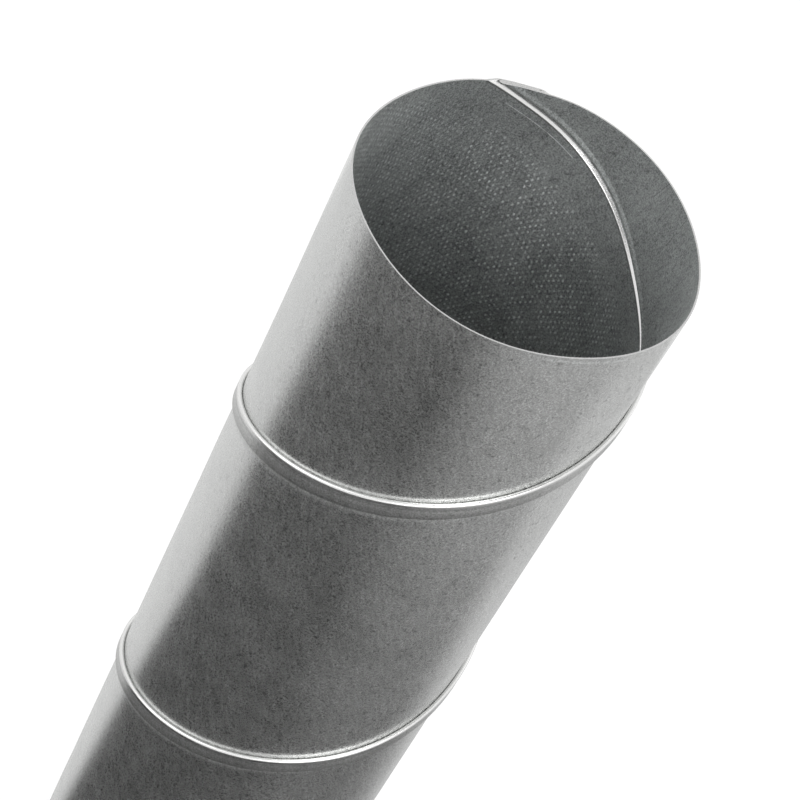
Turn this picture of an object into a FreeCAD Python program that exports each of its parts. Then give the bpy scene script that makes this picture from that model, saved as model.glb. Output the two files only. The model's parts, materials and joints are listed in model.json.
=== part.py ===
import FreeCAD, Part
import math
import os
import Sketcher

# A spiral duct section: one steel strip wound into a right-handed helix.
# Each turn is locked to the turn before it by a four-ply folded seam.
# The duct stands on one end: +Z is its axis, the origin is the centre of its lower end.
SIZES = {
    "inner_diameter": 100.0,
    "tube_length": 500.0,
    "sheet_thickness": 0.5,
    "winding_pitch": 134.9,
    "seam_lap": 4.4,
    "ply_gap": 0.1,
    "fold_chamfer": 0.5,
    "seam_angle": 112.4,
    "bore_trim": 0.2,
    "end_overrun": 12.0,
}

# The wall between two seams is swept as this many bands, side by side.
WALL_BANDS = 5


class Length:
    """A length: its number in millimetres and its formula of the spreadsheet's cells."""

    def __init__(self, number, formula):
        self.number = number
        self.formula = formula

    def __add__(self, other):
        return Length(self.number + other.number, f"({self.formula} + {other.formula})")

    def __sub__(self, other):
        return Length(self.number - other.number, f"({self.formula} - {other.formula})")

    def __rmul__(self, times):
        return Length(times * self.number, f"{times:.9f} * {self.formula}")


def size(name):
    """One of the driving sizes."""
    return Length(SIZES[name], f"sizes.{name}")


def origin_feature(body, role):
    """A plane or axis of the body's own origin."""
    return next(item for item in body.Origin.OriginFeatures if item.Role == role)


def section_sketch(body, name, corners):
    """A closed outline in the body's XZ plane, each corner tied to the spreadsheet."""
    sketch = body.newObject("Sketcher::SketchObject", name)
    sketch.AttachmentSupport = [(origin_feature(body, "XZ_Plane"), "")]
    sketch.MapMode = "FlatFace"
    points = [FreeCAD.Vector(radius.number, height.number, 0) for radius, height in corners]
    ends = points[1:] + points[:1]
    lines = [Part.LineSegment(start, end) for start, end in zip(points, ends)]
    sketch.addGeometry(lines, False)
    count = len(corners)
    for index, (radius, height) in enumerate(corners):
        after = (index + 1) % count
        sketch.addConstraint(Sketcher.Constraint("Coincident", index, 2, after, 1))
        for kind, distance in (("DistanceX", radius), ("DistanceY", height)):
            tie = sketch.addConstraint(
                Sketcher.Constraint(kind, -1, 1, index, 1, distance.number))
            sketch.setExpression(f"Constraints[{tie}]", distance.formula)
    return sketch


BORE = 0.5 * size("inner_diameter")
TOP = size("tube_length")
THICKNESS = size("sheet_thickness")
PITCH = size("winding_pitch")
HALF_LAP = 0.5 * size("seam_lap")
GAP = size("ply_gap")
CHAMFER = size("fold_chamfer")
TRIM = size("bore_trim")
OVERRUN = size("end_overrun")
NOTHING = TOP - TOP

# Reach of a fold from the seam's middle: half the lap and the fold's outer radius.
FOLD_REACH = HALF_LAP + 1.5 * THICKNESS + GAP

# The strip starts low enough for its first whole turn to end below the duct's lower end.
UPPER_SEAM = NOTHING - OVERRUN
LOWER_SEAM = UPPER_SEAM - PITCH


def ply(count, face):
    """Radius of a seam ply, counted outward from 0; face 0 is its inner side, 1 its outer."""
    return BORE + count * (THICKNESS + GAP) + face * THICKNESS


def lower_edge():
    """The strip's lower edge: it folds outward and back up over itself."""
    end = LOWER_SEAM - FOLD_REACH
    bend = end + CHAMFER
    inside = end + THICKNESS
    hem = LOWER_SEAM + HALF_LAP
    return [
        (ply(0, 0) - TRIM, bend + TRIM),
        (ply(0, 0) + CHAMFER, end),
        (ply(2, 1) - CHAMFER, end),
        (ply(2, 1), bend),
        (ply(2, 1), hem),
        (ply(2, 0), hem),
        (ply(2, 0), inside),
        (ply(0, 1), inside),
    ]


def on_step(radius, offset):
    """Height at which the 45 degree step out of the wall passes a radius."""
    corner = UPPER_SEAM - FOLD_REACH + CHAMFER
    return corner + radius - ply(2, 1) - math.sqrt(2.0) * offset


def upper_edge():
    """The strip's upper edge: it steps out over the next turn's fold and hooks into it."""
    wall_face = ply(0, 0) - TRIM
    end = UPPER_SEAM + FOLD_REACH
    bend = end - CHAMFER
    inside = end - THICKNESS
    hem = UPPER_SEAM - HALF_LAP
    return [
        (ply(0, 1), on_step(ply(0, 1), GAP + THICKNESS)),
        (ply(3, 1), on_step(ply(3, 1), GAP + THICKNESS)),
        (ply(3, 1), bend),
        (ply(3, 1) - CHAMFER, end),
        (ply(1, 0) + CHAMFER, end),
        (ply(1, 0), bend),
        (ply(1, 0), hem),
        (ply(1, 1), hem),
        (ply(1, 1), inside),
        (ply(3, 0), inside),
        (ply(3, 0), on_step(ply(3, 0), GAP)),
        (wall_face, on_step(wall_face, GAP)),
    ]


def strip_outline():
    """The whole strip section: its lower edge, the bands of its wall and its upper edge."""
    lower = lower_edge()
    upper = upper_edge()
    start = lower[-1][1]
    width = upper[0][1] - start
    shares = [band / WALL_BANDS for band in range(1, WALL_BANDS)]
    wall = [(ply(0, 1), start + share * width) for share in shares]
    return lower + wall + upper


def trimmed_away():
    """What is cut off the wound strip: the bore's lining and both ends."""
    clear = ply(3, 1) + OVERRUN
    below = LOWER_SEAM - PITCH - OVERRUN
    above = TOP + PITCH + PITCH + OVERRUN
    return [
        (NOTHING, below),
        (clear, below),
        (clear, NOTHING),
        (BORE, NOTHING),
        (BORE, TOP),
        (clear, TOP),
        (clear, above),
        (NOTHING, above),
    ]


def main():
    doc = FreeCAD.newDocument("spiral_duct_section")
    sheet = doc.addObject("Spreadsheet::Sheet", "sizes")
    for row, (name, value) in enumerate(SIZES.items(), start=1):
        sheet.set(f"A{row}", name)
        sheet.set(f"B{row}", str(value))
        sheet.setAlias(f"B{row}", name)
    doc.recompute()

    duct = doc.addObject("PartDesign::Body", "spiral_duct")
    duct.Label = "spiral_duct"
    strip = section_sketch(duct, "strip_section", strip_outline())
    doc.recompute()

    winding = duct.newObject("PartDesign::AdditiveHelix", "wound_strip")
    winding.Profile = strip
    winding.ReferenceAxis = (origin_feature(duct, "Z_Axis"), [""])
    winding.Mode = "pitch-height-angle"
    winding.Angle = 0
    winding.LeftHanded = False
    winding.setExpression("Pitch", "sizes.winding_pitch")
    winding.setExpression(
        "Height", "sizes.tube_length + sizes.winding_pitch + 2 * sizes.end_overrun")
    doc.recompute()
    wound_volume = winding.Shape.Volume

    ends = section_sketch(duct, "bore_and_ends", trimmed_away())
    doc.recompute()
    trim = duct.newObject("PartDesign::Groove", "bore_and_end_cuts")
    trim.Profile = ends
    trim.ReferenceAxis = (origin_feature(duct, "Z_Axis"), [""])
    trim.Angle = 360
    doc.recompute()

    # The seam leaves the upper end at the seam angle, counted from +X towards +Y.
    duct.Placement = FreeCAD.Placement(
        FreeCAD.Vector(0, 0, 0), FreeCAD.Rotation(FreeCAD.Vector(0, 0, 1), 0))
    duct.setExpression(
        "Placement.Rotation.Angle",
        "(sizes.seam_angle - 360 * (sizes.tube_length + sizes.winding_pitch"
        " + sizes.end_overrun) / sizes.winding_pitch) * 1 deg")
    doc.recompute()

    for item in doc.Objects:
        if "Invalid" in item.State or "Error" in item.State:
            raise RuntimeError(f"{item.Name} did not build: {item.State}")
    shape = duct.Shape
    if shape.isNull() or not shape.isValid() or len(shape.Solids) != 1:
        raise RuntimeError("the duct is not one sound solid")
    if not 0 < shape.Volume < wound_volume:
        raise RuntimeError("the trimming did not take metal off the wound strip")

    os.makedirs("parts", exist_ok=True)
    shape.exportStep("parts/spiral_duct.step")
    box = shape.optimalBoundingBox(False, False)
    print("spiral_duct", round(shape.Volume, 1), "mm3,", len(shape.Faces), "faces")
    print("box", [round(side, 3) for side in (box.XLength, box.YLength, box.ZLength)])


main()
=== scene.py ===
import json
import math
from collections import namedtuple

import bmesh
import bpy
from mathutils import Matrix, Vector


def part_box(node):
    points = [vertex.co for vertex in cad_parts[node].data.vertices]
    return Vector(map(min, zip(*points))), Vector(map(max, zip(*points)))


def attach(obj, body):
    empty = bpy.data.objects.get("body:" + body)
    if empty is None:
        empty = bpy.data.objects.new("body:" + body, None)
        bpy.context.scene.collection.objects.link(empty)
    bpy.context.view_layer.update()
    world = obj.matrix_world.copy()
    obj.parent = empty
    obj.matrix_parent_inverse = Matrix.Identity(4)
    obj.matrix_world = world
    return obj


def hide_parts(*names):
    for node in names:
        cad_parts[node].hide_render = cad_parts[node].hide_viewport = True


bl_info = {
    "name": "Spiral duct section",
    "version": (1, 0, 0),
    "blender": (4, 5, 0),
    "location": "3D View > Sidebar > Duct",
    "description": "Winds a galvanised spiral duct from its strip section and sets a studio for it",
    "category": "Object",
}

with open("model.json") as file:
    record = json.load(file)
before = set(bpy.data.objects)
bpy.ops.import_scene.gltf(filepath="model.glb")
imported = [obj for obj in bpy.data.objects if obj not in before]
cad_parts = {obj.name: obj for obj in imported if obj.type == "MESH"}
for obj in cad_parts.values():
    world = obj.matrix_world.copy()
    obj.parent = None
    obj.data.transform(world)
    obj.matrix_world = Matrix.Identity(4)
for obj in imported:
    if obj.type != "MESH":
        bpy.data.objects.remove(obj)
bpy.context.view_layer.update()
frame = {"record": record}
NODE = "spiral_duct"
BODY = "root"
MOUNTS = {mount["name"]: mount for mount in frame["record"]["mounts"]}
BORE_RADIUS = MOUNTS["upper_socket"]["dims"]["r_mm"] / 1000.0
DUCT_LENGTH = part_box(NODE)[1][2]

# Slow waves round the flared end: waves a turn, height, and the angle of a crest.
RIM_WAVES = (
    (2, 0.00094, math.radians(86.7)),
    (3, 0.00036, math.radians(-27.8)),
    (4, 0.00034, math.radians(-3.4)),
    (5, 0.00027, math.radians(-19.7)),
)

# Dents near the upper end: angle, depth below the end, height, and spread in angle and depth.
DENTS = (
    (math.radians(48.0), 0.030, -0.0026, math.radians(21.0), 0.015),
    (math.radians(109.0), 0.0, -0.00125, math.radians(9.0), 0.012),
)

# Depth of the bare metal at the cut upper end.
CUT_SKIN = 0.00006

# Scratches near the upper end: angle and depth of both ends, width, side and paleness.
INSIDE, OUTSIDE = 1.0, 0.0
SCRATCHES = (
    (math.radians(115.0), 0.0070, math.radians(87.0), 0.0169, 0.00020, INSIDE, 1.0),
    (math.radians(53.5), 0.0, math.radians(56.0), 0.0074, 0.00020, INSIDE, -1.0),
    (math.radians(48.8), 0.0045, math.radians(48.8), 0.0111, 0.00020, INSIDE, -1.0),
    (math.radians(38.6), 0.0, math.radians(39.6), 0.0125, 0.00020, INSIDE, -1.0),
    (math.radians(100.6), 0.0120, math.radians(104.6), 0.0194, 0.00014, INSIDE, -0.7),
    (math.radians(-66.0), 0.0014, math.radians(-38.0), 0.0018, 0.0009, OUTSIDE, 0.25),
)


def length_property(name, description, default):
    """A length that a user can change, in metres."""
    return bpy.props.FloatProperty(
        name=name, description=description, default=default, unit="LENGTH", precision=5)


def angle_property(name, description, degrees):
    """An angle that a user can change, given in degrees."""
    return bpy.props.FloatProperty(
        name=name, description=description, default=math.radians(degrees), subtype="ANGLE")


def colour_property(name, description, default):
    """A colour that a user can change."""
    return bpy.props.FloatVectorProperty(
        name=name, description=description, default=default, size=3,
        subtype="COLOR", min=0.0, max=1.0)


def share_property(name, description, default):
    """A share from 0 to 1 that a user can change."""
    return bpy.props.FloatProperty(
        name=name, description=description, default=default, min=0.0, max=1.0, subtype="FACTOR")


def step_property(name, description, default):
    """A pair of lengths that a user can change, in metres."""
    return bpy.props.FloatVectorProperty(
        name=name, description=description, default=default, size=2, unit="LENGTH", precision=5)


class DuctSizes(bpy.types.PropertyGroup):
    """Sizes of the wound strip and its seam."""
    bore_radius: length_property("Bore radius", "Inner radius of the duct", BORE_RADIUS)
    duct_length: length_property("Length", "Length from end to end", DUCT_LENGTH)
    sheet: length_property("Sheet", "Thickness of the strip", 0.0005)
    ply_gap: length_property("Ply gap", "Air between two plies of the seam", 0.00003)
    seam_lap: length_property("Seam lap", "Flat overlap of the seam along the axis", 0.0044)
    pitch: length_property("Pitch", "Rise of the seam in one turn", 0.1349)
    bead: length_property("Bead", "Inward bead of the wall above the fold", 0.00027)
    bead_width: length_property("Bead width", "Width of the bead along the axis", 0.0026)
    shoulder_bend: length_property("Shoulder bend", "Bend of the wall into the step", 0.0007)
    crest_bend: length_property("Crest bend", "Bend of the step into the seam's top", 0.0011)
    crease: length_property("Crease", "Depth of the crease along the seam's top", 0.00004)
    crease_offset: length_property("Crease offset", "Crease above the seam's middle", 0.0008)
    crease_width: length_property("Crease width", "Width of the crease", 0.0008)
    step_slope: angle_property("Step slope", "Slope of the step from the wall to the seam's top", 45.0)
    step_gap: length_property("Step gap", "Air between the step and the fold above it", 0.00028)
    seam_angle: angle_property("Seam angle", "Where the seam leaves the upper end", 112.4)
    overrun: length_property("Overrun", "Wound past each end before trimming", 0.012)
    ripple: length_property("Ripple", "Height of the sheet's slow ripples", 0.00007)
    ripple_span: length_property("Ripple span", "Distance between ripples", 0.05)
    pinch: share_property("Pinch", "How much the seam is pressed flat at the upper end", 0.28)
    pinch_depth: length_property("Pinch depth", "Depth to which the seam is pressed", 0.008)
    flare: length_property("Flare", "How far the upper end opens", 0.00064)
    rim_fade: length_property("Rim fade", "Depth to which the end is out of round", 0.06)
    rings_per_turn: bpy.props.IntProperty(
        name="Rings a turn", description="Sections in one turn", default=120, min=24)


class DuctFinish(bpy.types.PropertyGroup):
    """Colours and gloss of the galvanised sheet."""
    zinc: colour_property("Zinc", "Clean zinc outside", (0.64, 0.646, 0.638))
    lining: colour_property("Lining", "Clean zinc inside", (0.575, 0.592, 0.588))
    stain: colour_property("Stain", "Dull patches", (0.46, 0.465, 0.465))
    # Rubbed seam zinc, set brighter than the zinc so that it also paints a highlight on the seam's top
    # and the inner shoulder.
    rubbed: colour_property("Rubbed", "Zinc rubbed bright on the seam", (0.76, 0.76, 0.752))
    roughness: share_property("Roughness", "Roughness of the clear sheen", 0.22)
    haze: share_property("Haze", "Share of dull haze over the sheen outside", 0.30)
    inner_haze: share_property("Inner haze", "Share of dull haze inside", 0.64)
    haze_roughness: share_property("Haze roughness", "Roughness of the dull haze", 0.62)
    inner_grain: share_property("Inner grain", "Grain inside as a share of that outside", 0.75)
    dusty_angle: angle_property("Dusty side", "Angle of the side with the coarsest grain", -75.0)
    grain_height: length_property("Grain height", "Height of the grain's relief", 0.00008)
    cut: colour_property("Cut edge", "Bare metal of the cut ends", (0.58, 0.58, 0.575))
    # Roller marks are painted pale as a highlight on the raised dots; pale scratches are real wear.
    mark: colour_property("Marks", "Roller marks and pale scratches", (0.92, 0.94, 0.94))
    dark_scratch: colour_property("Dark scratches", "Scratches that look dark", (0.12, 0.12, 0.12))
    # Painted shade: near-black laid on the seam's hidden hem folds, and in part on its crease, flat
    # top, lower corner and foot.
    tucked: colour_property("Tucked in", "Folds hidden in the seam", (0.05, 0.048, 0.045))
    dot_step: step_property("Dot step", "From one roller mark to the next", (0.00175, 0.00014))
    row_step: step_property("Row step", "From one row of marks to the next", (0.00106, 0.0019))
    dot_radius: length_property("Dot radius", "Half the width of one roller mark", 0.00045)
    dot_shape: share_property("Dot shape", "Width of a roller mark over its length", 0.6)
    dot_lean: angle_property("Dot lean", "Lean of a roller mark along the strip", 15.0)
    dots_from: length_property("Dots from", "Where the roller marks start across the strip", 0.040)
    dots_to: length_property("Dots to", "Where the roller marks end across the strip", 0.112)
    dots_fade: step_property("Dots fade", "Widths of the roller marks' fading edges", (0.006, 0.008))
    scuff: share_property("Scuff", "Haze of the scuffed band below the seam", 0.35)
    scuff_drop: length_property("Scuff drop", "The scuffed band's top below the seam's middle", 0.0048)
    scuff_width: length_property("Scuff width", "Width over which the scuffed band builds up", 0.0026)


class StudioSettings(bpy.types.PropertyGroup):
    """Camera, lights and floor."""
    camera_place: bpy.props.FloatVectorProperty(
        name="Camera", description="Place of the camera", size=3, subtype="TRANSLATION",
        default=(0.0, -0.5059, DUCT_LENGTH + 0.4190))
    camera_aim: bpy.props.FloatVectorProperty(
        name="Aim", description="Point that the camera looks at", size=3,
        subtype="TRANSLATION", default=(-0.0070, 0.0, DUCT_LENGTH - 0.0861))
    camera_roll: angle_property("Roll", "Turn of the camera about its view", 28.45)
    lens: bpy.props.FloatProperty(
        name="Lens", description="Focal length in millimetres", default=109.67)
    floor: colour_property("Floor", "Pale floor", (0.66, 0.66, 0.66))
    card: colour_property("Front card", "Dark card before the duct", (0.02, 0.02, 0.02))
    top_card: colour_property("Top card", "Dark card over the open end", (0.05, 0.05, 0.05))


# Zones of the section: share of inner face, of rubbed seam top that also paints a highlight, and of
# painted shade in the seam's hidden folds, crease, flat top, lower corner and foot.
PLAIN = (0.0, 0.0, 0.0)
LINING = (1.0, 0.0, 0.0)
# SHOULDER and CREST, and FLAT and EDGE in part, carry rubbed zinc that also paints a highlight.
SHOULDER = (1.0, 1.0, 0.0)
CREST = (0.0, 1.0, 0.0)
# FLAT, EDGE, FOOT and HEM carry painted shade in their third share.
FLAT = (0.0, 0.25, 0.18)
EDGE = (0.0, 0.2, 0.35)
FOOT = (0.0, 0.0, 0.45)
HEM = (0.0, 0.0, 1.0)


# Node trees

def put(tree, kind, **settings):
    """A new node with its settings."""
    node = tree.nodes.new(kind)
    for name, value in settings.items():
        setattr(node, name, value)
    return node


def feed(tree, socket, value):
    """Links an output to a socket, or sets a plain value on it."""
    if isinstance(value, bpy.types.NodeSocket):
        tree.links.new(value, socket)
    else:
        socket.default_value = value


def calc(tree, operation, *values):
    """A math node's output."""
    node = put(tree, "ShaderNodeMath", operation=operation)
    for socket, value in zip(node.inputs, values):
        feed(tree, socket, value)
    return node.outputs[0]


def weighed(tree, first, first_weight, second, second_weight):
    """The sum of two values, each times its weight."""
    return calc(tree, "ADD", calc(tree, "MULTIPLY", first, first_weight),
                calc(tree, "MULTIPLY", second, second_weight))


def vector(tree, x, y, z):
    """A vector from three parts."""
    node = put(tree, "ShaderNodeCombineXYZ")
    for socket, value in zip(node.inputs, (x, y, z)):
        feed(tree, socket, value)
    return node.outputs[0]


def remap(tree, value, low, high, to_low=0.0, to_high=1.0, smooth=True):
    """A value carried from one range to another."""
    node = put(tree, "ShaderNodeMapRange",
               interpolation_type="SMOOTHSTEP" if smooth else "LINEAR")
    for name, item in (("Value", value), ("From Min", low), ("From Max", high),
                       ("To Min", to_low), ("To Max", to_high)):
        feed(tree, node.inputs[name], item)
    return node.outputs["Result"]


def parts_of(tree, value):
    """The three parts of a vector."""
    parts = put(tree, "ShaderNodeSeparateXYZ")
    feed(tree, parts.inputs[0], value)
    return parts.outputs["X"], parts.outputs["Y"], parts.outputs["Z"]


def attribute_parts(tree, name):
    """The three parts of a vector attribute."""
    node = put(tree, "ShaderNodeAttribute", attribute_type="GEOMETRY", attribute_name=name)
    return parts_of(tree, node.outputs["Vector"])


def blend(tree, factor, first, second):
    """A colour between two colours."""
    node = put(tree, "ShaderNodeMix", data_type="RGBA", clamp_factor=True)
    for name, value in (("Factor", factor), ("A", first), ("B", second)):
        socket = next(item for item in node.inputs
                      if item.name == name and (name == "Factor" or item.type == "RGBA"))
        feed(tree, socket, value)
    return next(item for item in node.outputs if item.type == "RGBA")


def noise(tree, coordinates, scale, detail=2.0, roughness=0.5):
    """A noise texture's value."""
    node = put(tree, "ShaderNodeTexNoise", noise_dimensions="3D")
    feed(tree, node.inputs["Vector"], coordinates)
    node.inputs["Scale"].default_value = scale
    node.inputs["Detail"].default_value = detail
    node.inputs["Roughness"].default_value = roughness
    return node.outputs[0]


# The strip's section

def seam_ply(sizes, count, face):
    """Radius of a seam ply, counted outward from 0; face 0 is its inner side, 1 its outer."""
    return sizes.bore_radius + count * (sizes.sheet + sizes.ply_gap) + face * sizes.sheet


def fold_reach(sizes):
    """Reach of a fold from the seam's middle."""
    return 0.5 * sizes.seam_lap + 1.5 * sizes.sheet + sizes.ply_gap


def section_corners(sizes):
    """Corners of the strip's section, as radius, height, bend radius and zone."""
    half_lap = 0.5 * sizes.seam_lap
    reach = fold_reach(sizes)
    fold_bend = 0.999 * (1.5 * sizes.sheet + sizes.ply_gap)
    inner_bend = 0.499 * (sizes.sheet + 2.0 * sizes.ply_gap)
    foot_bend = sizes.shoulder_bend - sizes.sheet
    under_bend = sizes.crest_bend - sizes.sheet
    fold = -reach
    top = sizes.pitch + reach
    hem_end = sizes.pitch + fold + sizes.sheet + 2.0 * sizes.ply_gap
    crease_place = sizes.pitch + sizes.crease_offset
    crease_side = 0.5 * sizes.crease_width
    slope = math.tan(sizes.step_slope)
    stretch = math.hypot(1.0, slope)
    bend_cut = (1.0 + slope - stretch) * fold_bend

    def ply(count, face):
        return seam_ply(sizes, count, face)

    def on_step(radius, offset):
        corner = sizes.pitch + fold + bend_cut
        return corner + slope * (radius - ply(2, 1)) - stretch * offset

    gap = sizes.step_gap
    back = gap + sizes.sheet
    lower_edge = [
        (ply(0, 0), fold + sizes.bead_width, 2.0 * fold_bend, LINING),
        (ply(0, 0) - sizes.bead, fold + 0.5 * sizes.bead_width, fold_bend, LINING),
        (ply(0, 0) - sizes.bead, fold, fold_bend, LINING),
        (ply(2, 1), fold, fold_bend, PLAIN),
        (ply(2, 1), half_lap, 0.0, PLAIN),
        (ply(2, 0), half_lap, 0.0, HEM),
        (ply(2, 0), fold + sizes.sheet, inner_bend, HEM),
        (ply(0, 1), fold + sizes.sheet, inner_bend, PLAIN),
    ]
    upper_edge = [
        (ply(0, 1), on_step(ply(0, 1), back), foot_bend, FOOT),
        (ply(3, 1), on_step(ply(3, 1), back), sizes.crest_bend, EDGE),
        (ply(3, 1), crease_place - crease_side, 0.0, FLAT),
        (ply(3, 1) - sizes.crease, crease_place, 0.0, EDGE),
        (ply(3, 1), crease_place + crease_side, 0.0, FLAT),
        (ply(3, 1), top, fold_bend, CREST),
        (ply(1, 0), top, fold_bend, CREST),
        (ply(1, 0), hem_end, 0.0, PLAIN),
        (ply(1, 1), hem_end, 0.0, HEM),
        (ply(1, 1), top - sizes.sheet, inner_bend, HEM),
        (ply(3, 0), top - sizes.sheet, inner_bend, CREST),
        (ply(3, 0), on_step(ply(3, 0), gap), under_bend, CREST),
        (ply(0, 0), on_step(ply(0, 0), gap), sizes.shoulder_bend, SHOULDER),
    ]
    return lower_edge + upper_edge


def bend_points(before, corner, after, radius, sides_per_turn=32):
    """Points of a rounded corner between two straight runs."""
    start = (before - corner).normalized()
    end = (after - corner).normalized()
    opening = start.angle(end)
    if radius <= 0.0:
        return [corner]
    turn = math.pi - opening
    if abs(math.sin(turn)) < 1e-6:
        raise ValueError("a bend needs two runs at an angle")
    setback = radius * math.tan(turn / 2.0)
    centre = corner + (start + end).normalized() * (radius / math.sin(opening / 2.0))
    first = corner + start * setback - centre
    last = corner + end * setback - centre
    sides = max(2, round(sides_per_turn * turn / (2.0 * math.pi)))
    side_turn = turn / sides
    points = []
    for index in range(sides + 1):
        share = math.sin((sides - index) * side_turn), math.sin(index * side_turn)
        points.append(centre + (first * share[0] + last * share[1]) / math.sin(turn))
    return points


def wall_points(start, end, first_step=0.0005, growth=2.0, longest=0.006):
    """Points along a wide wall, close together near its bends."""
    run = end - start
    marks = []
    place, stride = first_step, first_step
    while place < run.length / 2.0:
        marks.append(place)
        stride = min(longest, stride * growth)
        place += stride
    marks += [run.length - mark for mark in reversed(marks)]
    return [start + run * (mark / run.length) for mark in marks]


def section_outline(sizes):
    """The whole outline, as points and their zones."""
    corners = [(Vector((radius, height)), bend, zone)
               for radius, height, bend, zone in section_corners(sizes)]
    count = len(corners)
    bends = []
    for index, (corner, bend, _) in enumerate(corners):
        before = corners[index - 1][0]
        after = corners[(index + 1) % count][0]
        bends.append(bend_points(before, corner, after, bend))
    outline = []
    for index, bend in enumerate(bends):
        zone = corners[index][2]
        outline += [(point, zone) for point in bend]
        next_point = bends[(index + 1) % count][0]
        if (next_point - bend[-1]).length > 10.0 * sizes.seam_lap:
            wall_zone = LINING if zone == SHOULDER else PLAIN
            outline += [(point, wall_zone) for point in wall_points(bend[-1], next_point)]
    return outline


def section_mesh(sizes):
    """The outline as a ring of vertices in the XZ plane."""
    outline = section_outline(sizes)
    mesh = bpy.data.meshes.new("strip_section")
    count = len(outline)
    mesh.from_pydata(
        [(point.x, 0.0, point.y) for point, _ in outline],
        [(index, (index + 1) % count) for index in range(count)], [])
    zones = mesh.attributes.new("zone", "FLOAT_VECTOR", "POINT")
    for item, (_, zone) in zip(zones.data, outline):
        item.vector = zone
    return mesh


# Winding the strip

WINDING_INPUTS = ("Pitch", "Rings", "Step Angle", "Start Angle", "Start Height",
                  "Wall Radius", "Ripple", "Ripple Span", "Rim Height", "Rim Fade", "Flare",
                  "Pinch", "Pinch Depth", "Outer Face")


def sampled(tree, section, value, corner):
    """A value of the section at one of its corners."""
    node = put(tree, "GeometryNodeSampleIndex", data_type="FLOAT_VECTOR", domain="POINT")
    feed(tree, node.inputs["Geometry"], section)
    feed(tree, node.inputs["Value"], value)
    feed(tree, node.inputs["Index"], corner)
    return node.outputs[0]


def round_place(tree, radius, angle, height):
    """A place from its radius, angle and height."""
    return vector(tree, calc(tree, "MULTIPLY", radius, calc(tree, "COSINE", angle)),
                  calc(tree, "MULTIPLY", radius, calc(tree, "SINE", angle)), height)


def sheet_ripple(tree, given, on_wall):
    """Slow ripples of the sheet."""
    ripple = put(tree, "ShaderNodeTexNoise", noise_dimensions="3D")
    feed(tree, ripple.inputs["Vector"], on_wall)
    feed(tree, ripple.inputs["Scale"], calc(tree, "DIVIDE", 1.0, given["Ripple Span"]))
    ripple.inputs["Detail"].default_value = 1.0
    return calc(tree, "MULTIPLY", calc(tree, "SUBTRACT", ripple.outputs[0], 0.5),
                calc(tree, "MULTIPLY", given["Ripple"], 4.0))


def rim_bulge(tree, given, angle, height):
    """The flare and the slow waves of the upper end, fading out below it."""
    rim = given["Flare"]
    for count, crest, crest_angle in RIM_WAVES:
        turn = calc(tree, "MULTIPLY", calc(tree, "SUBTRACT", angle, crest_angle), float(count))
        rim = calc(tree, "ADD", rim, calc(tree, "MULTIPLY", calc(tree, "COSINE", turn), crest))
    fade_start = calc(tree, "SUBTRACT", given["Rim Height"], given["Rim Fade"])
    return calc(tree, "MULTIPLY", rim, remap(tree, height, fade_start, given["Rim Height"]))


def dent_bulge(tree, angle, below, dent):
    """One dent, fading out in angle and depth."""
    dent_angle, depth, amount, spread, depth_spread = dent
    aside = calc(tree, "SUBTRACT", calc(
        tree, "COSINE", calc(tree, "SUBTRACT", angle, dent_angle)), 1.0)
    beside = calc(tree, "DIVIDE", calc(tree, "SUBTRACT", below, depth), depth_spread)
    fall = calc(tree, "SUBTRACT", calc(tree, "DIVIDE", aside, spread * spread),
                calc(tree, "MULTIPLY", calc(tree, "MULTIPLY", beside, beside), 0.5))
    return calc(tree, "MULTIPLY", calc(tree, "EXPONENT", fall), amount)


def seam_press(tree, given, radius, below):
    """How far the proud part of the seam is pressed in at the upper end."""
    proud = calc(tree, "MAXIMUM", calc(tree, "SUBTRACT", radius, given["Outer Face"]), 0.0)
    pressed = remap(tree, below, given["Pinch Depth"], 0.0, 0.0, given["Pinch"])
    return calc(tree, "MULTIPLY", proud, pressed)


def strip_place(tree, given, wound, rise):
    """Place on the flat strip, along it and across it."""
    wall = given["Wall Radius"]
    slope = calc(tree, "ARCTAN2", given["Pitch"], calc(tree, "MULTIPLY", wall, 2.0 * math.pi))
    lean_cosine, lean_sine = calc(tree, "COSINE", slope), calc(tree, "SINE", slope)
    along = calc(tree, "ADD", calc(tree, "DIVIDE", calc(tree, "MULTIPLY", wound, wall), lean_cosine),
                 calc(tree, "MULTIPLY", rise, lean_sine))
    return vector(tree, along, calc(tree, "MULTIPLY", rise, lean_cosine), 0.0)


def stored(tree, geometry, name, value):
    """The geometry with one more named vector on its points."""
    mark = put(tree, "GeometryNodeStoreNamedAttribute", data_type="FLOAT_VECTOR", domain="POINT")
    feed(tree, mark.inputs["Geometry"], geometry)
    mark.inputs["Name"].default_value = name
    feed(tree, mark.inputs["Value"], value)
    return mark.outputs["Geometry"]


def welded_and_coated(tree, geometry, material):
    """The wound grid with its seam of points welded, shaded smooth and given its material."""
    weld = put(tree, "GeometryNodeMergeByDistance")
    weld.inputs["Distance"].default_value = 1e-6
    coat = put(tree, "GeometryNodeSetMaterial")
    coat.inputs["Material"].default_value = material
    smooth = put(tree, "GeometryNodeSetShadeSmooth")
    realize = put(tree, "GeometryNodeRealizeInstances")
    for node in (weld, smooth, realize, coat):
        feed(tree, node.inputs["Geometry"], geometry)
        geometry = node.outputs["Geometry"]
    return geometry


def winding_interface(tree):
    """The tree's named inputs and its output."""
    tree.interface.new_socket("Geometry", in_out="INPUT", socket_type="NodeSocketGeometry")
    for name in WINDING_INPUTS:
        kind = "NodeSocketInt" if name == "Rings" else "NodeSocketFloat"
        tree.interface.new_socket(name, in_out="INPUT", socket_type=kind)
    tree.interface.new_socket("Geometry", in_out="OUTPUT", socket_type="NodeSocketGeometry")


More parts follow.
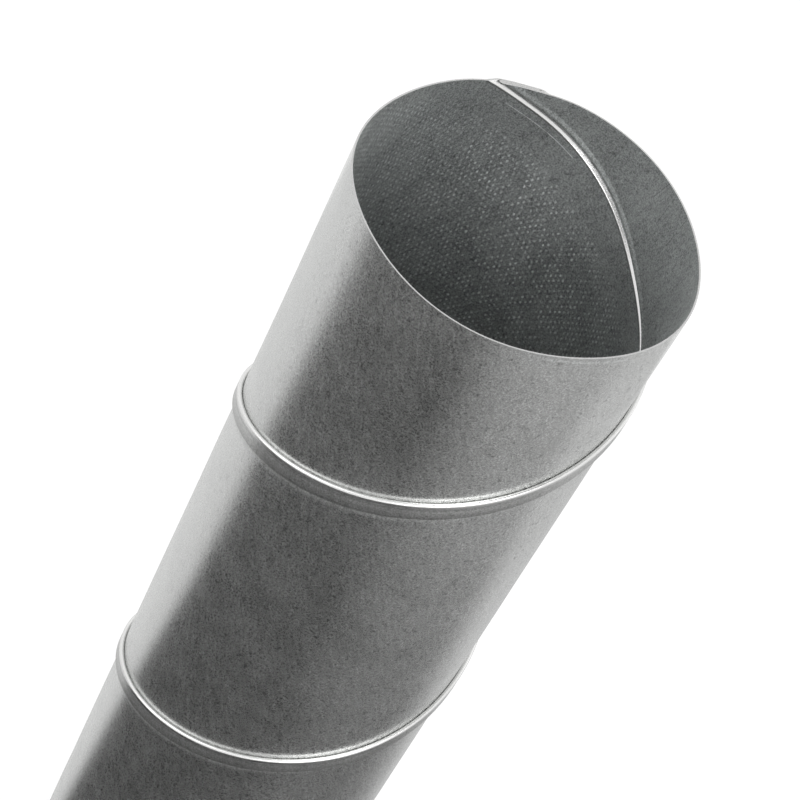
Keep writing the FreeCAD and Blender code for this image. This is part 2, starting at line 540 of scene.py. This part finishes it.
def winding_tree(material):
    """Geometry Nodes that sweep the section along the helix."""
    tree = bpy.data.node_groups.new("wind_strip", "GeometryNodeTree")
    winding_interface(tree)
    given = put(tree, "NodeGroupInput").outputs
    section = given["Geometry"]

    size = put(tree, "GeometryNodeAttributeDomainSize", component="MESH")
    feed(tree, size.inputs["Geometry"], section)
    points = size.outputs["Point Count"]
    columns = calc(tree, "ADD", points, 1.0)
    grid = put(tree, "GeometryNodeMeshGrid")
    feed(tree, grid.inputs["Vertices X"], given["Rings"])
    feed(tree, grid.inputs["Vertices Y"], columns)

    index = put(tree, "GeometryNodeInputIndex").outputs[0]
    ring = calc(tree, "FLOOR", calc(tree, "DIVIDE", calc(tree, "ADD", index, 0.5), columns))
    column = calc(tree, "SUBTRACT", index, calc(tree, "MULTIPLY", ring, columns))
    corner = calc(tree, "MODULO", column, points)
    position = put(tree, "GeometryNodeInputPosition").outputs[0]
    radius, _, rise = parts_of(tree, sampled(tree, section, position, corner))
    zone_name = put(tree, "GeometryNodeInputNamedAttribute", data_type="FLOAT_VECTOR")
    zone_name.inputs["Name"].default_value = "zone"
    zone = sampled(tree, section, zone_name.outputs["Attribute"], corner)

    wound = calc(tree, "MULTIPLY", ring, given["Step Angle"])
    angle = calc(tree, "ADD", wound, given["Start Angle"])
    lift = calc(tree, "MULTIPLY", wound, calc(tree, "DIVIDE", given["Pitch"], 2.0 * math.pi))
    height = calc(tree, "ADD", calc(tree, "ADD", rise, given["Start Height"]), lift)
    below = calc(tree, "SUBTRACT", given["Rim Height"], height)
    bulge = calc(tree, "ADD",
                 sheet_ripple(tree, given, round_place(tree, given["Wall Radius"], angle, height)),
                 rim_bulge(tree, given, angle, height))
    for dent in DENTS:
        bulge = calc(tree, "ADD", bulge, dent_bulge(tree, angle, below, dent))
    bulge = calc(tree, "SUBTRACT", bulge, seam_press(tree, given, radius, below))

    move = put(tree, "GeometryNodeSetPosition")
    feed(tree, move.inputs["Geometry"], grid.outputs["Mesh"])
    feed(tree, move.inputs["Position"],
         round_place(tree, calc(tree, "ADD", radius, bulge), angle, height))
    marked = stored(tree, move.outputs["Geometry"], "strip", strip_place(tree, given, wound, rise))
    marked = stored(tree, marked, "zone", zone)
    result = put(tree, "NodeGroupOutput")
    feed(tree, result.inputs["Geometry"], welded_and_coated(tree, marked, material))
    return tree


def winding_values(sizes):
    """Values of the winding's named inputs."""
    height = sizes.duct_length + sizes.pitch + 2.0 * sizes.overrun
    start = -(sizes.pitch + sizes.overrun)
    turns = height / sizes.pitch
    rings = math.ceil(turns * sizes.rings_per_turn) + 1
    seam_turns = (sizes.duct_length - start) / sizes.pitch
    return {
        "Pitch": sizes.pitch,
        "Rings": rings,
        "Step Angle": 2.0 * math.pi * turns / (rings - 1),
        "Start Angle": sizes.seam_angle - 2.0 * math.pi * seam_turns,
        "Start Height": start,
        "Wall Radius": sizes.bore_radius + 0.5 * sizes.sheet,
        "Ripple": sizes.ripple,
        "Ripple Span": sizes.ripple_span,
        "Rim Height": sizes.duct_length,
        "Rim Fade": sizes.rim_fade,
        "Flare": sizes.flare,
        "Pinch": sizes.pinch,
        "Pinch Depth": sizes.pinch_depth,
        "Outer Face": sizes.bore_radius + sizes.sheet,
    }


def trim_end(mesh, height, outward):
    """Cuts the wound strip off square and closes the cut."""
    work = bmesh.new()
    work.from_mesh(mesh)
    everything = work.verts[:] + work.edges[:] + work.faces[:]
    bmesh.ops.bisect_plane(
        work, geom=everything, dist=1e-7, plane_co=(0.0, 0.0, height),
        plane_no=(0.0, 0.0, outward), clear_outer=True)
    rim = [edge for edge in work.edges if edge.is_boundary
           and all(abs(vert.co.z - height) < 1e-6 for vert in edge.verts)]
    filled = bmesh.ops.holes_fill(work, edges=rim, sides=0)["faces"]
    if not filled:
        raise RuntimeError("the cut end did not close")
    bmesh.ops.triangulate(work, faces=filled, ngon_method="EAR_CLIP")
    work.to_mesh(mesh)
    work.free()


def wound_duct(sizes, material):
    """The duct as one closed mesh, wound, trimmed and shaded."""
    section = bpy.data.objects.new("strip_section", section_mesh(sizes))
    bpy.context.collection.objects.link(section)
    tree = winding_tree(material)
    modifier = section.modifiers.new("wind_strip", "NODES")
    modifier.node_group = tree
    values = winding_values(sizes)
    for item in tree.interface.items_tree:
        if item.item_type == "SOCKET" and item.in_out == "INPUT" and item.name in values:
            modifier[item.identifier] = values[item.name]
    graph = bpy.context.evaluated_depsgraph_get()
    mesh = bpy.data.meshes.new_from_object(section.evaluated_get(graph), depsgraph=graph)
    bpy.data.objects.remove(section)
    trim_end(mesh, 0.0, -1.0)
    trim_end(mesh, sizes.duct_length, 1.0)
    work = bmesh.new()
    work.from_mesh(mesh)
    bmesh.ops.recalc_face_normals(work, faces=work.faces[:])
    if any(not edge.is_manifold for edge in work.edges):
        raise RuntimeError("the duct's mesh is not closed")
    work.to_mesh(mesh)
    work.free()
    mesh.set_sharp_from_angle(angle=math.radians(35.0))
    return bpy.data.objects.new("wound_strip", mesh)


# The zinc finish

def roller_dots(tree, finish, surface):
    """Leaning rows of small marks on the inner face, in the middle of the strip."""
    step_along, step_across = finish.dot_step
    row_along, row_across = finish.row_step
    area = step_along * row_across - step_across * row_along
    along, across = surface.along, surface.across
    place = weighed(tree, along, row_across / area, across, -row_along / area)
    row = weighed(tree, along, -step_across / area, across, step_along / area)
    row_number = calc(tree, "FLOOR", row)
    off_place = calc(tree, "SUBTRACT", calc(tree, "FRACT", place), 0.5)
    off_row = calc(tree, "SUBTRACT", calc(tree, "FRACT", row), 0.5)
    off_along = weighed(tree, off_place, step_along, off_row, row_along)
    off_across = weighed(tree, off_place, step_across, off_row, row_across)
    lean, upright = math.sin(finish.dot_lean), math.cos(finish.dot_lean)
    short_side = weighed(tree, off_along, upright, off_across, -lean)
    long_side = weighed(tree, off_along, finish.dot_shape * lean,
                        off_across, finish.dot_shape * upright)
    distance = calc(tree, "SQRT", calc(
        tree, "ADD", calc(tree, "MULTIPLY", long_side, long_side),
        calc(tree, "MULTIPLY", short_side, short_side)))
    dot = remap(tree, distance, finish.dot_radius, 0.3 * finish.dot_radius)
    chance = put(tree, "ShaderNodeTexWhiteNoise", noise_dimensions="2D")
    feed(tree, chance.inputs["Vector"], vector(tree, calc(tree, "FLOOR", place), row_number, 0.0))
    dot = calc(tree, "MULTIPLY", dot, remap(tree, chance.outputs["Value"], 0.0, 1.0, 0.25, 1.0))
    low_fade, high_fade = finish.dots_fade
    low = remap(tree, across, finish.dots_from, finish.dots_from + low_fade)
    high = remap(tree, across, finish.dots_to, finish.dots_to - high_fade)
    band = calc(tree, "MULTIPLY", calc(tree, "MULTIPLY", low, high), surface.lining)
    return calc(tree, "MULTIPLY", dot, band)


def scratch_mark(tree, angle, depth, radius, scratch):
    """How much of a place one straight scratch covers, on the unrolled wall."""
    start_angle, start_depth, end_angle, end_depth, width, _, _ = scratch
    run = (end_angle - start_angle) * radius
    drop = end_depth - start_depth
    beside = calc(tree, "MULTIPLY", calc(tree, "SUBTRACT", angle, start_angle), radius)
    below = calc(tree, "SUBTRACT", depth, start_depth)
    travel = calc(tree, "ADD", calc(tree, "MULTIPLY", beside, run), calc(tree, "MULTIPLY", below, drop))
    share = remap(tree, travel, 0.0, run * run + drop * drop, smooth=False)
    off = calc(tree, "SUBTRACT", beside, calc(tree, "MULTIPLY", share, run))
    under = calc(tree, "SUBTRACT", below, calc(tree, "MULTIPLY", share, drop))
    distance = calc(tree, "SQRT", calc(tree, "ADD", calc(tree, "MULTIPLY", off, off),
                                       calc(tree, "MULTIPLY", under, under)))
    return remap(tree, distance, width, 0.2 * width)


Surface = namedtuple("Surface", "where angle depth along across lining rubbed tucked cut")


def surface_parts(tree, sizes):
    """Where a place of the duct's surface lies, and which zone of the section it is in."""
    where = put(tree, "ShaderNodeTexCoord").outputs["Object"]
    beside, behind, height = parts_of(tree, where)
    angle = calc(tree, "ARCTAN2", behind, beside)
    depth = calc(tree, "SUBTRACT", sizes.duct_length, height)
    along, across, _ = attribute_parts(tree, "strip")
    lining, rubbed, tucked = attribute_parts(tree, "zone")
    cut = remap(tree, depth, CUT_SKIN, CUT_SKIN / 3.0)
    # Painted shade is left off the bare cut end.
    tucked = calc(tree, "MULTIPLY", tucked, calc(tree, "SUBTRACT", 1.0, cut))
    return Surface(where, angle, depth, along, across, lining, rubbed, tucked, cut)


def scratched(tree, surface, broken, sizes):
    """How much of a place is scratched pale, and how much is scratched dark."""
    pale, dark = 0.0, 0.0
    for scratch in SCRATCHES:
        _, _, _, _, _, face, paleness = scratch
        side = surface.lining if face == INSIDE else calc(tree, "SUBTRACT", 1.0, surface.lining)
        mark = scratch_mark(tree, surface.angle, surface.depth, sizes.bore_radius, scratch)
        mark = calc(tree, "MULTIPLY", calc(tree, "MULTIPLY", mark, side), broken)
        mark = calc(tree, "MULTIPLY", mark, abs(paleness))
        if paleness > 0.0:
            pale = calc(tree, "ADD", pale, mark)
        else:
            dark = calc(tree, "ADD", dark, mark)
    return pale, dark


def zinc_patterns(tree, surface):
    """The zinc's noise by name. The scale of each noise is in waves a metre."""
    where = surface.where
    line_place = vector(tree, calc(tree, "MULTIPLY", surface.along, 0.02), surface.across, 0.0)
    streak_place = vector(tree, surface.along, calc(tree, "MULTIPLY", surface.across, 0.12), 0.0)
    mottle = noise(tree, where, 70.0, 4.0, 0.62)
    grain = noise(tree, where, 2000.0, 3.0, 0.75)
    specks = noise(tree, where, 600.0, 3.0, 0.6)
    streaks = noise(tree, streak_place, 900.0, 2.0)
    lines = noise(tree, line_place, 2600.0, 2.0, 0.6)
    patches = noise(tree, where, 160.0, 1.0)
    breaks = noise(tree, where, 500.0, 1.0)
    return {
        "grain": grain,
        "fine": remap(tree, grain, 0.30, 0.70, -1.0, 1.0, smooth=False),
        "clouds": remap(tree, mottle, 0.35, 0.65, -1.0, 1.0),
        "flecks": remap(tree, specks, 0.56, 0.70),
        "streaks": remap(tree, streaks, 0.35, 0.65, -1.0, 1.0),
        "stained": remap(tree, mottle, 0.40, 0.70, 0.0, 0.20),
        "brushed": remap(tree, lines, 0.40, 0.65, 0.0, 0.30),
        "worn_dots": remap(tree, patches, 0.35, 0.65, 0.34, 0.58),
        "broken": remap(tree, breaks, 0.30, 0.50, 0.35, 1.0),
    }


def mixed_grain(tree, patterns, fine, clouds, streaks, flecks):
    """Patterns of the grain added up by their weights. Flecks take away."""
    mixed = weighed(tree, patterns["fine"], fine, patterns["clouds"], clouds)
    mixed = weighed(tree, mixed, 1.0, patterns["streaks"], streaks)
    return weighed(tree, mixed, 1.0, patterns["flecks"], -flecks)


def inner_calm(tree, finish, surface):
    """How strong the grain is: whole outside, less inside."""
    return remap(tree, surface.lining, 0.0, 1.0, 1.0, finish.inner_grain, smooth=False)


def seam_scuff(tree, finish, sizes, surface):
    """A dull scuffed band outside, below the seam's foot."""
    lean = math.cos(math.atan2(sizes.pitch, 2.0 * math.pi * sizes.bore_radius))
    top = lean * (sizes.pitch - finish.scuff_drop)
    band = remap(tree, surface.across, top - lean * finish.scuff_width, top, 0.0, finish.scuff)
    return calc(tree, "MULTIPLY", band, calc(tree, "SUBTRACT", 1.0, surface.lining))


def dull_share(tree, finish, sizes, surface, patterns, marks):
    """Share of dull haze over the clear sheen."""
    uneven = calc(tree, "MULTIPLY", mixed_grain(tree, patterns, 0.55, 0.10, 0.06, 0.20),
                  inner_calm(tree, finish, surface))
    base = remap(tree, surface.lining, 0.0, 1.0, finish.haze, finish.inner_haze, smooth=False)
    dull = calc(tree, "MULTIPLY", calc(tree, "ADD", uneven, 1.0), base)
    for more in (marks, seam_scuff(tree, finish, sizes, surface)):
        dull = calc(tree, "ADD", dull, more)
    brushed = calc(tree, "MULTIPLY", patterns["brushed"],
                   remap(tree, surface.lining, 0.0, 1.0, 1.0, 0.25))
    dull = weighed(tree, dull, calc(tree, "SUBTRACT", 1.0, surface.rubbed), brushed, surface.rubbed)
    clamp = put(tree, "ShaderNodeClamp")
    feed(tree, clamp.inputs["Value"], dull)
    return clamp.outputs[0]


def zinc_colour(tree, finish, surface, patterns, marks, dark):
    """Colour of the metal: zinc with stains, dust, cut edges, dark and pale scratches, rubbed seam zinc
    and roller marks that also paint highlights, and painted shade in the seam.
    """
    facing = calc(tree, "COSINE", calc(tree, "SUBTRACT", surface.angle, finish.dusty_angle))
    dusty = remap(tree, facing, 0.1, 0.6, 0.15, 1.0)
    dusty = remap(tree, surface.lining, 0.0, 1.0, dusty, finish.inner_grain, smooth=False)
    dust = mixed_grain(tree, patterns, 0.30, 0.05, 0.035, 0.28)
    tone = calc(tree, "ADD", calc(tree, "MULTIPLY", dust, dusty), 1.04)
    clean = blend(tree, surface.lining, (*finish.zinc, 1.0), (*finish.lining, 1.0))
    stained = blend(tree, patterns["stained"], clean, (*finish.stain, 1.0))
    dusted = put(tree, "ShaderNodeVectorMath", operation="SCALE")
    feed(tree, dusted.inputs["Vector"], stained)
    feed(tree, dusted.inputs["Scale"], tone)
    colour = dusted.outputs["Vector"]
    # Rubbed seam zinc, brighter than the zinc, also paints a highlight on the seam.
    for share, over in ((surface.rubbed, finish.rubbed),
                        # Roller marks painted pale as a highlight on their dots, and pale scratches
                        # from wear.
                        (calc(tree, "MULTIPLY", marks, 0.8), finish.mark),
                        (calc(tree, "MULTIPLY", dark, 0.6), finish.dark_scratch),
                        (calc(tree, "MULTIPLY", surface.cut, 0.8), finish.cut),
                        # Painted shade on the seam's hidden folds, crease, flat top, lower corner and
                        # foot.
                        (surface.tucked, finish.tucked)):
        colour = blend(tree, share, colour, (*over, 1.0))
    return colour


def zinc_relief(tree, finish, surface, patterns, dots):
    """The bumped normal of the grain and the roller marks."""
    grain = calc(tree, "MULTIPLY", patterns["grain"], inner_calm(tree, finish, surface))
    bump = put(tree, "ShaderNodeBump")
    bump.inputs["Strength"].default_value = 0.8
    feed(tree, bump.inputs["Distance"], finish.grain_height)
    feed(tree, bump.inputs["Height"], weighed(tree, grain, 0.5, dots, 1.0))
    return bump.outputs["Normal"]


def zinc_material(finish, sizes):
    """Dull zinc: a clear sheen under a fine grainy haze, with roller marks inside."""
    material = bpy.data.materials.new("galvanised_zinc")
    material.use_nodes = True
    tree = material.node_tree
    surface = surface_parts(tree, sizes)
    patterns = zinc_patterns(tree, surface)
    dots = calc(tree, "MULTIPLY", roller_dots(tree, finish, surface), patterns["worn_dots"])
    pale, dark = scratched(tree, surface, patterns["broken"], sizes)
    # Roller marks, whose pale colour is a painted highlight, and pale scratches.
    marks = calc(tree, "ADD", dots, pale)

    colour = zinc_colour(tree, finish, surface, patterns, marks, dark)
    normal = zinc_relief(tree, finish, surface, patterns, dots)
    dot_roughness = remap(tree, dots, 0.0, 1.0, finish.haze_roughness, 0.9, smooth=False)
    sheen = tree.nodes["Principled BSDF"]
    haze = put(tree, "ShaderNodeBsdfPrincipled")
    for shader, roughness in ((sheen, finish.roughness), (haze, dot_roughness)):
        feed(tree, shader.inputs["Base Color"], colour)
        feed(tree, shader.inputs["Normal"], normal)
        feed(tree, shader.inputs["Roughness"], roughness)
        shader.inputs["Metallic"].default_value = 1.0
    mix = put(tree, "ShaderNodeMixShader")
    feed(tree, mix.inputs[0], dull_share(tree, finish, sizes, surface, patterns, marks))
    feed(tree, mix.inputs[1], sheen.outputs[0])
    feed(tree, mix.inputs[2], haze.outputs[0])
    feed(tree, tree.nodes["Material Output"].inputs["Surface"], mix.outputs[0])
    return material


class DUCT_OT_wind(bpy.types.Operator):
    """Winds the duct from its strip section and coats it with zinc"""
    bl_idname = "duct.wind"
    bl_label = "Wind the duct"

    def execute(self, context):
        sizes = context.scene.duct_sizes
        duct = wound_duct(sizes, zinc_material(context.scene.duct_finish, sizes))
        context.collection.objects.link(duct)
        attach(duct, BODY)
        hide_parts(NODE)
        return {"FINISHED"}


# The studio

# Level sheets: left, right, front, back and height. Only reflections see the two cards.
FLOOR = (-4.0, 4.0, -4.0, 4.0, 0.0)
FRONT_CARD = (-1.6, 1.6, -1.6, 0.5, 0.002)
TOP_CARD = (-0.046, 0.058, -0.105, -0.004, DUCT_LENGTH + 0.1)

# Soft lamps: name, place, aim, width, height and watts.
LAMPS = (
    ("front_softbox", (0.05, -1.1, 1.46), (0.0, 0.0, 0.4), 1.0, 0.9, 13.0),
    ("left_softbox", (-1.3, 0.2, 1.15), (0.0, 0.0, 0.45), 0.9, 0.9, 3.6),
    ("right_softbox", (1.4, 0.3, 0.95), (0.0, 0.0, 0.45), 0.45, 0.45, 0.5),
)


def plain_material(name, colour, roughness=0.9):
    """A matt material of one colour."""
    material = bpy.data.materials.new(name)
    material.use_nodes = True
    shader = material.node_tree.nodes["Principled BSDF"]
    shader.inputs["Base Color"].default_value = (*colour, 1.0)
    shader.inputs["Roughness"].default_value = roughness
    shader.inputs["Specular IOR Level"].default_value = 0.0
    return material


def floor_material(colour):
    """A pale floor that stays white to the camera and keeps soft shadows."""
    material = plain_material("pale_floor", colour)
    tree = material.node_tree
    shader = tree.nodes["Principled BSDF"]
    path = put(tree, "ShaderNodeLightPath")
    seen = calc(tree, "MAXIMUM", path.outputs["Is Camera Ray"], path.outputs["Is Glossy Ray"])
    seen = calc(tree, "MAXIMUM", seen, path.outputs["Is Transmission Ray"])
    shader.inputs["Emission Color"].default_value = (1.0, 1.0, 1.0, 1.0)
    feed(tree, shader.inputs["Emission Strength"], calc(tree, "MULTIPLY", seen, 0.25))
    return material


def card_share(tree, across, deep):
    """How far the front card has turned from dark to the floor's tone at a place on it."""
    distance = calc(tree, "SQRT", weighed(tree, across, across, deep, deep))
    close = remap(tree, distance, 0.33, 0.23)
    left = remap(tree, across, 0.05, -0.10)
    close_left = calc(tree, "MULTIPLY", close, left)
    near_edge = weighed(tree, remap(tree, across, -0.10, 0.25, -0.06, 0.0), 1.0, close_left, 0.085)
    far_edge = weighed(tree, remap(tree, across, -0.10, 0.25, 0.01, 0.32), 1.0, close_left, 0.04)
    to_back = remap(tree, deep, near_edge, far_edge)
    to_right = remap(tree, across, 0.08, 0.60, 0.0, 0.50, smooth=False)
    far_right = weighed(tree, remap(tree, distance, 0.34, 0.50, -0.11, 0.07), 1.0, close, 0.08)
    far_right = calc(tree, "MULTIPLY", far_right, remap(tree, across, 0.10, 0.28))
    far_left = calc(tree, "MULTIPLY", remap(tree, distance, 0.40, 0.52, 0.0, 0.045), left)
    share = to_right
    for more in (to_back, far_right, far_left):
        share = calc(tree, "ADD", share, more)
    return calc(tree, "MINIMUM", share, remap(tree, across, 0.0, 0.25, 1.0, 0.80))


def card_material(dark, pale):
    """A card that is dark before the duct and runs into the floor at its right and back."""
    material = plain_material("dark_card", dark)
    tree = material.node_tree
    across, deep, _ = parts_of(tree, put(tree, "ShaderNodeTexCoord").outputs["Object"])
    feed(tree, tree.nodes["Principled BSDF"].inputs["Base Color"],
         blend(tree, card_share(tree, across, deep), (*dark, 1.0), (*pale, 1.0)))
    return material


def flat_corners(left, right, front, back, height):
    """Corners of a level rectangle."""
    return (left, front, height), (right, front, height), (right, back, height), (left, back, height)


def sheet_object(name, material, corners):
    """A rectangle on the stage."""
    mesh = bpy.data.meshes.new(name)
    mesh.from_pydata(corners, [], [(0, 1, 2, 3)])
    mesh.materials.append(material)
    item = bpy.data.objects.new(name, mesh)
    bpy.context.collection.objects.link(item)
    return item


def soft_light(name, place, aim, width, height, power):
    """A large soft lamp."""
    lamp = bpy.data.lights.new(name, "AREA")
    lamp.shape = "RECTANGLE"
    lamp.size = width
    lamp.size_y = height
    lamp.energy = power
    item = bpy.data.objects.new(name, lamp)
    item.location = place
    item.rotation_euler = (Vector(aim) - Vector(place)).to_track_quat("-Z", "Y").to_euler()
    item.visible_camera = False
    bpy.context.collection.objects.link(item)
    return item


def white_world(scene):
    """An even white surround."""
    world = bpy.data.worlds.new("studio_world")
    scene.world = world
    world.use_nodes = True
    background = world.node_tree.nodes["Background"]
    background.inputs["Color"].default_value = (1.0, 1.0, 1.0, 1.0)
    background.inputs["Strength"].default_value = 1.0


def studio_camera(studio):
    """The camera at the photograph's viewing angle, rolled as it was held."""
    data = bpy.data.cameras.new("studio_camera")
    data.lens = studio.lens
    data.sensor_width = 36.0
    camera = bpy.data.objects.new("studio_camera", data)
    place, aim = Vector(studio.camera_place), Vector(studio.camera_aim)
    look = (aim - place).to_track_quat("-Z", "Y").to_matrix().to_4x4()
    camera.matrix_world = Matrix.Translation(place) @ look @ Matrix.Rotation(
        studio.camera_roll, 4, "Z")
    bpy.context.collection.objects.link(camera)
    bpy.context.scene.camera = camera


class DUCT_OT_studio(bpy.types.Operator):
    """Sets the floor, the lights and the camera"""
    bl_idname = "duct.studio"
    bl_label = "Set the studio"

    def execute(self, context):
        studio = context.scene.duct_studio
        sheet_object("floor", floor_material(studio.floor), flat_corners(*FLOOR))
        front = sheet_object("front_card", card_material(studio.card, studio.floor),
                             flat_corners(*FRONT_CARD))
        over = sheet_object("top_card", plain_material("small_card", studio.top_card),
                            flat_corners(*TOP_CARD))
        for card in (front, over):
            card.visible_camera = False
            card.visible_diffuse = False
            card.visible_shadow = False
        for lamp in LAMPS:
            soft_light(*lamp)
        white_world(context.scene)
        studio_camera(studio)
        context.scene.view_settings.view_transform = "Standard"
        return {"FINISHED"}


class DUCT_PT_panel(bpy.types.Panel):
    """Lists the duct's steps and values"""
    bl_idname = "DUCT_PT_panel"
    bl_label = "Spiral duct"
    bl_space_type = "VIEW_3D"
    bl_region_type = "UI"
    bl_category = "Duct"

    def draw(self, context):
        groups = (
            (DUCT_OT_wind, (context.scene.duct_sizes, context.scene.duct_finish)),
            (DUCT_OT_studio, (context.scene.duct_studio,)),
        )
        for operator, settings in groups:
            box = self.layout.box()
            box.operator(operator.bl_idname)
            for group in settings:
                for name in group.__annotations__:
                    box.prop(group, name)


CLASSES = (DuctSizes, DuctFinish, StudioSettings, DUCT_OT_wind, DUCT_OT_studio, DUCT_PT_panel)


def register():
    for item in CLASSES:
        bpy.utils.register_class(item)
    bpy.types.Scene.duct_sizes = bpy.props.PointerProperty(type=DuctSizes)
    bpy.types.Scene.duct_finish = bpy.props.PointerProperty(type=DuctFinish)
    bpy.types.Scene.duct_studio = bpy.props.PointerProperty(type=StudioSettings)


def unregister():
    del bpy.types.Scene.duct_studio
    del bpy.types.Scene.duct_finish
    del bpy.types.Scene.duct_sizes
    for item in reversed(CLASSES):
        bpy.utils.unregister_class(item)


def main():
    register()
    bpy.ops.duct.wind()
    bpy.ops.duct.studio()


if __name__ == "__main__":
    main()
